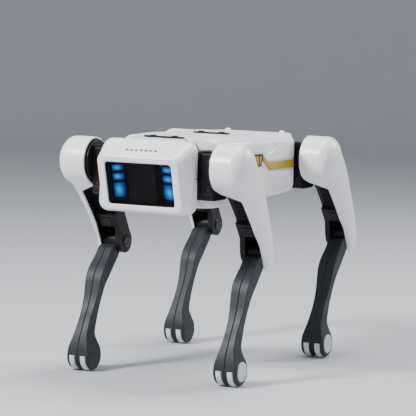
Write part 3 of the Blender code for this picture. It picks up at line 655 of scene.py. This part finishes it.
# ---- Torso ------------------------------------------------------------------------------------------
NECK_HALF, TORSO_HALF = 44.0, 86.0
NECK_START, TAIL_END = -131.5, 201.0
TOP_Z = [(NECK_START, 334.5), (-98, 335.5), (-60, 335.7), (0, 335.2), (47, 334.2), (80, 333.8), (145, 332.5)]
TOP_Z += [(TAIL_END, 330.5)]
BOTTOM_Z = [(NECK_START, 239.0), (-60, 240.0), (60, 243.5), (145, 246.5), (TAIL_END, 249.0)]
POD_PLAN = [(-85.4, 64), (-84.2, 70), (-82, 74), (-78, 77.5), (-72, 79.8), (-50, 82)]
POD_PLAN += [(5, TORSO_HALF), (149, TORSO_HALF), (152.5, 85.2), (155.5, 83), (157.4, 79.5), (158.2, 74)]
POD_FILLET = 15.0
PANEL_RELIEF = 1.3
SIDE_STEPS, FILLET_STEPS, DECK_STEPS = 24, 12, 14
DOME_Y = 192.0


def plan_half(y):
    for (a, wa), (b, wb) in zip(POD_PLAN, POD_PLAN[1:]):
        if y <= b:
            return wa + (wb - wa) * max(0.0, (y - a) / (b - a))
    return POD_PLAN[-1][1]


def panel_relief(y, z):
    """How far the pod's side falls short of two soft panels, one above the stripe and one below it."""
    before_tail = 1 - smooth_step(146, 150, y)
    upper_start = 50 + 42 * smooth_step(296, 326, z)
    upper = smooth_step(0, 2.4, y - upper_start) * before_tail * smooth_step(297.5, 299, z)
    lower_start = 66 + 26 * (1 - smooth_step(250, 284, z))
    lower = smooth_step(0, 2.4, y - lower_start) * before_tail
    lower *= smooth_step(252, 254, z) * (1 - smooth_step(281.5, 283, z))
    return PANEL_RELIEF * (max(upper, lower) - 1)


def torso_section(y, half, edge, top, pod):
    """Half of a cross-section, from its free edge up the side and over to the middle."""
    sign = 1 if top else -1
    crown = smooth_curve(TOP_Z if top else BOTTOM_Z, y)
    fillet = min(POD_FILLET, half * 0.4)
    bend = crown - sign * fillet
    if not pod:
        bend = edge if sign * (bend - edge) < 0 else bend
        fillet = sign * (crown - bend)
    points = []
    for k in range(SIDE_STEPS + 1):
        z = edge + (bend - edge) * k / SIDE_STEPS
        points.append((half + (panel_relief(y, z) if pod else 0.0), y, z))
    for k in range(1, FILLET_STEPS + 1):
        a = math.pi / 2 * k / FILLET_STEPS
        crease = 0.5 * math.exp(-(((k - 8) / 1.2) ** 2)) if pod and top else 0.0
        relief = panel_relief(y, bend) * (1 - k / FILLET_STEPS) if pod else 0.0
        x = half - fillet * (1 - math.cos(a)) + relief
        points.append((x, y, crown - sign * (fillet * (1 - math.sin(a)) + crease)))
    inner = half - fillet
    for k in range(1, DECK_STEPS + 1):
        x = inner * (1 - k / DECK_STEPS)
        groove = 0.6 * math.exp(-(((x - 62) / 1.6) ** 2)) if pod and top else 0.0
        points.append((x, y, crown - sign * groove))
    return points


def torso_shell(top):
    """The upper or the lower half of the torso: a slim neck, wide pods and a tail."""
    edge = SEAM_Z + (0.15 if top else -0.15)
    lip = 326.0 if top else 250.5
    tail_half = 60.0 if top else 34.5
    rows = []
    for y in spaced(NECK_START, -85.6, 4.0):
        half = NECK_HALF - 2.0 * (1 - smooth_step(NECK_START, -127, y))
        rows.append(torso_section(y, half, lip, top, False))
    front_corner, rear_corner = [y for y, _ in POD_PLAN[:5]], [151, 152.5, 154, 155.5, 156.6, 157.4, 158.2]
    for y in front_corner + spaced(-70, 149, 1.2) + rear_corner:
        rows.append(torso_section(y, plan_half(y), edge, top, True))
    for y in spaced(158.5, TAIL_END, 4.0):
        half = tail_half - 4.0 * smooth_step(195, TAIL_END, y)
        rows.append(torso_section(y, half, lip, top, False))
    return grid([row + [(-x, y, z) for x, y, z in reversed(row[:-1])] for row in rows])


def add_torso():
    for name, node, top in (("deck_shell", "top_shell", True), ("belly_tray", "belly_shell", False)):
        add_piece(name, torso_shell(top), WHITE, "torso", [node], wall=2.3, bevel=0.4, bevel_angle=50)
    height = (251.5, 325.0)
    walls = [box((-33.8, 33.8), (y, y + 2), height) for y in (-131.2, 196.0)]
    for sign in (1, -1):
        side = (sign * 33.4 - 0.6, sign * 33.4 + 0.6)
        walls += [box(side, length, height) for length in ((-130, -84), (157, 196.5))]
    for sign in (1, -1):
        walls += [box((sign * 48 - 33, sign * 48 + 33), (y, y + 1.5), (255, 327)) for y in (-80.5, 151.5)]
    add_piece("inner_bay_walls", join(*walls), BLACK, "torso", bevel=0.3)


def add_deck_details():
    """Two accessory rails on raised feet, small grey pads, and a pair of domes near the tail."""
    for name, y, half, z in (("front_rail", -98.0, 31.0, 336.0), ("rear_rail", 47.0, 28.5, 334.6)):
        right = [(half, 0.0), (half, 1.6), (half - 0.7, 2.1), (20.6, 2.1), (19.6, 3.2), (19.0, 3.4)]
        right += [(14.0, 3.4), (13.4, 3.2), (12.4, 2.1)]
        outline = [(x, z + h) for x, h in right] + [(-x, z + h) for x, h in reversed(right)]
        feet = [box((x - 3, x + 3), (y - 2.2, y + 2.2), (z - 3.0, z + 0.4)) for x in (-22, 0, 22)]
        bar = join(prism("Y", outline, y - 3.2, y + 3.2), *feet)
        add_piece(f"{name}_bar", bar, BLACK, "torso", [name], bevel=0.35)
    pads, domes = [], []
    for sign in (-1, 1):
        for x, y in ((37.0, -108.0), (45.0, -62.0), (45.0, 30.0), (45.0, 64.0)):
            top = smooth_curve(TOP_Z, y)
            pads.append(box((sign * x - 3.4, sign * x + 3.4), (y - 2.4, y + 2.4), (top - 1.5, top + 0.9)))
        top = smooth_curve(TOP_Z, DOME_Y)
        profile = [(top - 1, 4.6), (top + 0.6, 4.6), (top + 2.0, 3.9), (top + 2.9, 2.4), (top + 3.2, 0.6)]
        domes.append(turned("Z", (sign * 45.0, DOME_Y), profile, 32))
    add_piece("deck_pads", join(*pads), GREY, "torso", bevel=0.5)
    add_piece("deck_domes", join(*domes), WHITE, "torso", bevel_angle=60)


def add_stripes():
    """A yellow band on each side, dark towards its tail end, and a slanted badge with a black outline."""
    band = [(42.5, 307.8), (60, 296.6), (147, 295.7), (147, 284.6), (67, 284.6), (42.5, 300.4)]
    end = [(147.2, 295.7), (151.5, 295.6), (151.5, 284.6), (147.2, 284.6)]
    badge = [(9.5, 310.4), (41.0, 310.2), (36.6, 292.2), (25.4, 292.2)]
    rim = [(9.5, 310.4), (41.0, 310.2), (40.2, 307.2), (11.6, 307.4)]
    foot = [(24.4, 294.6), (37.4, 294.6), (36.6, 292.2), (25.4, 292.2)]
    slants = ((11.4, 24.6), (27.4, 30.2), (38.4, 35.2))
    bars = [[(u, 307.7), (u + 2.2, 307.7), (v + 1.9, 294.0), (v, 294.0)] for u, v in slants]
    for side, sign in (("left", 1), ("right", -1)):
        low, yellow_high, dark_high = (sign * (TORSO_HALF + step) for step in (-0.9, 0.55, 0.85))
        yellow = join(*[prism("X", outline, low, yellow_high) for outline in (band, badge)])
        add_piece(f"stripe_band_{side}", yellow, YELLOW, "torso", [f"side_stripe_{side}"], bevel=0.2)
        dark = join(*[prism("X", outline, low, dark_high) for outline in (end, rim, foot, *bars)])
        add_piece(f"stripe_outline_{side}", dark, SATIN_BLACK, "torso", bevel=0.15)


def add_tail():
    """A black end plate with vent slats, a port and a button, and the screws of the plate and the belly."""
    outline = rounded_rectangle(29.0, 254.0, 323.0, 7.0, 8)
    steps = ((201.3, 1.0), (203.6, 1.0), (204.7, 0.985), (205.0, 0.96))
    rows = [[(x * k, y, (z - SEAM_Z) * k + SEAM_Z) for x, z in outline] for y, k in steps]
    plate = join(grid(rows, closed_ring=True, caps=True), box((-31, 31), (196.5, 201.4), (252, 325)))
    add_piece("tail_plate", plate, BLACK, "torso", ["tail_cover"], bevel=0.3)
    slats = [box((-20, 20), (204.3, 205.6), (296 + 4.2 * k, 297.8 + 4.2 * k)) for k in range(5)]
    port = prism("Y", rounded_rectangle(9.0, 263.0, 270.0, 2.0, 5), 204.4, 205.7)
    add_piece("tail_vents", join(*slats, port), SATIN_BLACK, "torso", bevel=0.25)
    profile = [(204.4, 6.4), (205.7, 6.4), (205.9, 5.9), (205.9, 5.0), (205.2, 4.8), (205.2, 0.5)]
    button = turned("Y", (0, 282.5), profile, 40)
    add_piece("power_button", button, SILVER, "torso", bevel_angle=40)
    screws = [("Y", (x, z), 205.0, 1, 1.8) for x in (-23.5, 23.5) for z in (260.0, 317.0)]
    for x in (-66.0, 66.0):
        screws += [("Z", (x, y), smooth_curve(BOTTOM_Z, y) + 0.3, -1, 2.0) for y in (-20.0, 60.0, 130.0)]
    heads, socket_shades = screw_set(screws)
    add_piece("shell_screws", heads, DARK_STEEL, "torso", bevel_angle=30)
    # black hexagons on the heads: painted shade of the screw sockets
    add_piece("shell_socket_shades", socket_shades, BLACK, "torso", bevel_angle=30)


# ---- Head -------------------------------------------------------------------------------------------
BROW_LOW_Z, BROW_HIGH_Z = 315.2, 333.5
BROW_SETBACK, SHOULDER_ROUND = 2.6, 3.4


def face_y(z, depth=0.0):
    return FACE_TOP_Y + (FACE_TOP_Z - z) * FACE_TILT + depth


def shoulder_y(z):
    return -150.0 + 11.0 * max(0.0, (z - 300.0) / 35.0)


def head_ring(half, low, high, radius, y_of):
    return [(x, y_of(z), z) for x, z in rounded_rectangle(half, low, high, radius, 14)]


def brow_y(z):
    """The sloping plane over the window, from the front frame's edge up to the shoulder."""
    low, high = face_y(BROW_LOW_Z, BROW_SETBACK), shoulder_y(BROW_HIGH_Z) - SHOULDER_ROUND
    return low + (high - low) * (z - BROW_LOW_Z) / (BROW_HIGH_Z - BROW_LOW_Z)


def window_ring(grow, depth, radius=4.5):
    low, high = WINDOW_LOW - grow, WINDOW_HIGH + grow
    return head_ring(WINDOW_HALF + grow, low, high, radius, lambda z: face_y(z, depth))


def add_brow_slots():
    """Seven slanted slots for the microphones, cut square to the brow's plane."""
    slope = brow_y(1.0) - brow_y(0.0)
    out_y, out_z = -1 / math.hypot(slope, 1), slope / math.hypot(slope, 1)
    slots = []
    for k in range(7):
        x, z = 7.4 * (k - 3), 321.8
        outline = [(x - 2.5, -0.95), (x + 1.7, -0.95), (x + 2.5, 0.95), (x - 1.7, 0.95)]
        rows = [
            [(u, brow_y(z + rise) + lift * out_y, z + rise + lift * out_z) for u, rise in outline]
            for lift in (-1.5, 0.12)
        ]
        slots.append(grid(rows, closed_ring=True, caps=True))
    add_piece("brow_mic_slots", join(*slots), BLACK, "torso", bevel=0.15)


def add_head():
    """The casing: rings from the back opening over the outside, in through the window, and back inside."""
    rear = HEAD_REAR_Y
    rings = [
        head_ring(30.0, 258.0, 322.0, 3.0, lambda z: rear),
        head_ring(70.0, 237.4, 332.6, 12.0, lambda z: rear),
        head_ring(71.4, 235.6, 334.4, 13.5, lambda z: rear - 0.8),
        head_ring(72.0, 235.0, 335.0, 14.0, lambda z: rear - 2.5),
        head_ring(72.0, 235.0, 335.0, 15.0, lambda z: shoulder_y(z)),
        head_ring(71.4, 235.2, 334.4, 15.0, lambda z: shoulder_y(z) - 1.6),
        head_ring(70.5, 235.6, BROW_HIGH_Z, 14.5, lambda z: shoulder_y(z) - SHOULDER_ROUND),
        head_ring(63.0, 236.9, BROW_LOW_Z, 10.5, lambda z: face_y(z, BROW_SETBACK)),
        head_ring(61.9, 237.6, 313.3, 9.8, lambda z: face_y(z, 0.9)),
        head_ring(60.4, 238.8, 312.0, 9.0, lambda z: face_y(z, 0.1)),
        head_ring(59.4, 239.6, 311.2, 8.4, lambda z: face_y(z)),
        window_ring(2.1, 0.0, 5.6),
        window_ring(1.2, 0.25, 5.0),
        window_ring(0.45, 1.1),
        window_ring(0.35, 4.0),
        head_ring(59.5, 240.0, 309.5, 8.0, lambda z: face_y(z, 5.0)),
        head_ring(69.6, 237.4, 331.5, 13.0, lambda z: shoulder_y(z) + 1.0),
        head_ring(69.6, 237.4, 332.0, 12.0, lambda z: rear - 2.6),
        head_ring(30.0, 258.0, 322.0, 3.0, lambda z: rear - 2.6),
    ]
    shell = grid(rings, closed_rows=True, closed_ring=True)
    head = add_piece("head_casing", shell, WHITE, "torso", ["head_shell"], bevel_angle=70)
    normals = head.modifiers.new("normals", "WEIGHTED_NORMAL")
    normals.weight = 80
    add_brow_slots()
    sides = [(sign * 71.6 - 0.6, sign * 71.6 + 0.6) for sign in (1, -1)]
    notches = [box(side, (-141.0, -132.9), (284.4, 285.6)) for side in sides]
    add_piece("head_side_notches", join(*notches), BLACK, "torso", bevel_angle=30)


def add_face():
    """The smoked pane, the open black tray behind it, and the screen block in the tray's middle."""
    pane = grid([window_ring(0.0, 1.0), window_ring(0.0, 3.2)], closed_ring=True, caps=True)
    add_piece("face_pane", pane, WINDOW, "torso", ["face_window"], bevel=0.3)
    rows = [window_ring(-0.4, 19.0), window_ring(-0.4, 4.4), window_ring(1.1, 4.4), window_ring(1.1, 21.0)]
    tray = grid(rows, closed_ring=True, caps=True)
    add_piece("light_tray", tray, BLACK, "torso", ["light_housing"], bevel_angle=40)
    ends = [head_ring(21.0, 248.6, 302.0, 1.5, lambda z, d=depth: face_y(z, d)) for depth in (10.0, 18.9)]
    screen = grid(ends, closed_ring=True, caps=True)
    add_piece("screen_block", screen, SATIN_BLACK, "torso", bevel=0.4)


EYE_BLOCKS = [(291.4, 301.4, 1.6), (278.4, 289.2, 1.6), (254.2, 276.2, 2.0)]  # low, high, corner radius
EYE_X, EYE_HALF, EYE_RISE = 39.0, 8.0, 2.2


def add_eyes():
    """A carrier plate behind each end of the window, with three lit blocks that rise towards the middle."""
    carrier = [(28.0, 250.2), (48.2, 250.2), (48.2, 302.6), (28.0, 302.6)]
    for side, sign in (("left", 1), ("right", -1)):
        rows = [[(sign * x, face_y(z, depth), z) for x, z in carrier] for depth in (16.7, 18.7)]
        plate = grid(rows, closed_ring=True, caps=True)
        add_piece(f"eye_carrier_{side}", plate, BLACK, "torso", [f"eye_light_{side}"], bevel=0.3)
        for number, (low, high, corner) in enumerate(EYE_BLOCKS):
            low, high = low + EYE_RISE / 2, high - EYE_RISE / 2
            rows = []
            for inset, depth in ((0.0, 16.8), (0.0, 13.0), (0.35, 12.6)):
                outline = rounded_rectangle(EYE_HALF - inset, low + inset, high - inset, corner, 6)
                leaning = [(x, z - EYE_RISE * x / (2 * EYE_HALF)) for x, z in outline]
                rows.append([(sign * (EYE_X + x), face_y(z, depth), z) for x, z in leaning])
            block = grid(rows, closed_ring=True, caps=True)
            add_piece(f"eye_block_{side}_{number}", block, GLOW, "torso", bevel_angle=60)


# ---- CAD pieces that stay, and the stage ------------------------------------------------------------
FLOOR_GAP = 0.0002
LIGHTS = [
    ("key", (-1.1, -1.9, 1.9), 120.0, 0.6),
    ("fill", (2.2, -0.9, 0.9), 15.0, 0.8),
    ("top", (0.2, 0.5, 2.3), 52.0, 1.0),
    ("rim", (1.3, 1.9, 1.3), 30.0, 0.6),
]


def finish_cad_pieces():
    looks = {"battery_pack": WRAP, "main_board": BOARD, "chassis": BLACK}
    for name, node in frame["nodes"].items():
        if name in looks or name.startswith(("hip_motor", "pitch_motor")):
            node.data.materials.clear()
            node.data.materials.append(looks.get(name, SATIN_BLACK))


def add_floor():
    """A round studio floor that bends up into a wall all the way round."""
    look = moulded("floor_look", (0.50, 0.51, 0.53), 0.6, grain=300.0, bump=0.08, tint=0.01)
    flat, bend, height, sides = 4.2, 1.6, 5.5, 96
    turns = [math.radians(7.5 * k) for k in range(1, 13)]
    profile = [(0.5, 0.0), (flat, 0.0)]
    profile += [(flat + bend * math.sin(a), bend - bend * math.cos(a)) for a in turns]
    profile.append((flat + bend, height))
    rows = [[(x, y, z - FLOOR_GAP) for x, y in circle((0, 0), radius, sides)] for radius, z in profile]
    points, faces = grid(rows, closed_ring=True)
    mesh = bpy.data.meshes.new("studio_floor")
    mesh.from_pydata(points, [], [tuple(range(sides))[::-1], *faces])
    mesh.shade_smooth()
    mesh.materials.append(look)
    floor = bpy.data.objects.new("studio_floor", mesh)
    bpy.context.scene.collection.objects.link(floor)


def add_lights():
    world = bpy.data.worlds.new("studio")
    world.use_nodes = True
    background = world.node_tree.nodes["Background"]
    background.inputs["Color"].default_value = (0.80, 0.86, 1.0, 1)
    background.inputs["Strength"].default_value = 0.45
    bpy.context.scene.world = world
    middle = Vector((0, 0, 0.2))
    for name, place, power, size in LIGHTS:
        light = bpy.data.lights.new(name, "AREA")
        light.energy, light.size = power, size
        lamp = bpy.data.objects.new(name, light)
        lamp.location = place
        lamp.rotation_euler = (middle - Vector(place)).to_track_quat("-Z", "Y").to_euler()
        bpy.context.scene.collection.objects.link(lamp)


def add_camera():
    azimuth, elevation, roll = (math.radians(degrees) for degrees in (27.157, 6.608, 1.184))
    distance = 3.126
    target = Vector((0, BODY_SHIFT * MM, 0.18))
    level = Vector((math.sin(azimuth), -math.cos(azimuth), 0))
    back = level * math.cos(elevation) + Vector((0, 0, math.sin(elevation)))
    right = Vector((0, 0, 1)).cross(back).normalized()
    up = back.cross(right)
    turned_right = right * math.cos(roll) + up * math.sin(roll)
    turned_up = up * math.cos(roll) - right * math.sin(roll)
    camera = bpy.data.cameras.new("camera")
    camera.sensor_width, camera.lens = 36.0, 188.5
    camera.shift_x, camera.shift_y = 0.0331, 0.0833
    view = bpy.data.objects.new("camera", camera)
    matrix = Matrix((turned_right, turned_up, back)).transposed().to_4x4()
    matrix.translation = target + back * distance
    view.matrix_world = matrix
    bpy.context.scene.collection.objects.link(view)
    bpy.context.scene.camera = view


add_camera()
add_thigh_covers()
add_thigh_frames()
add_hips()
add_shanks()
add_torso()
add_deck_details()
add_stripes()
add_tail()
add_head()
add_face()
add_eyes()
finish_cad_pieces()
add_floor()
add_lights()
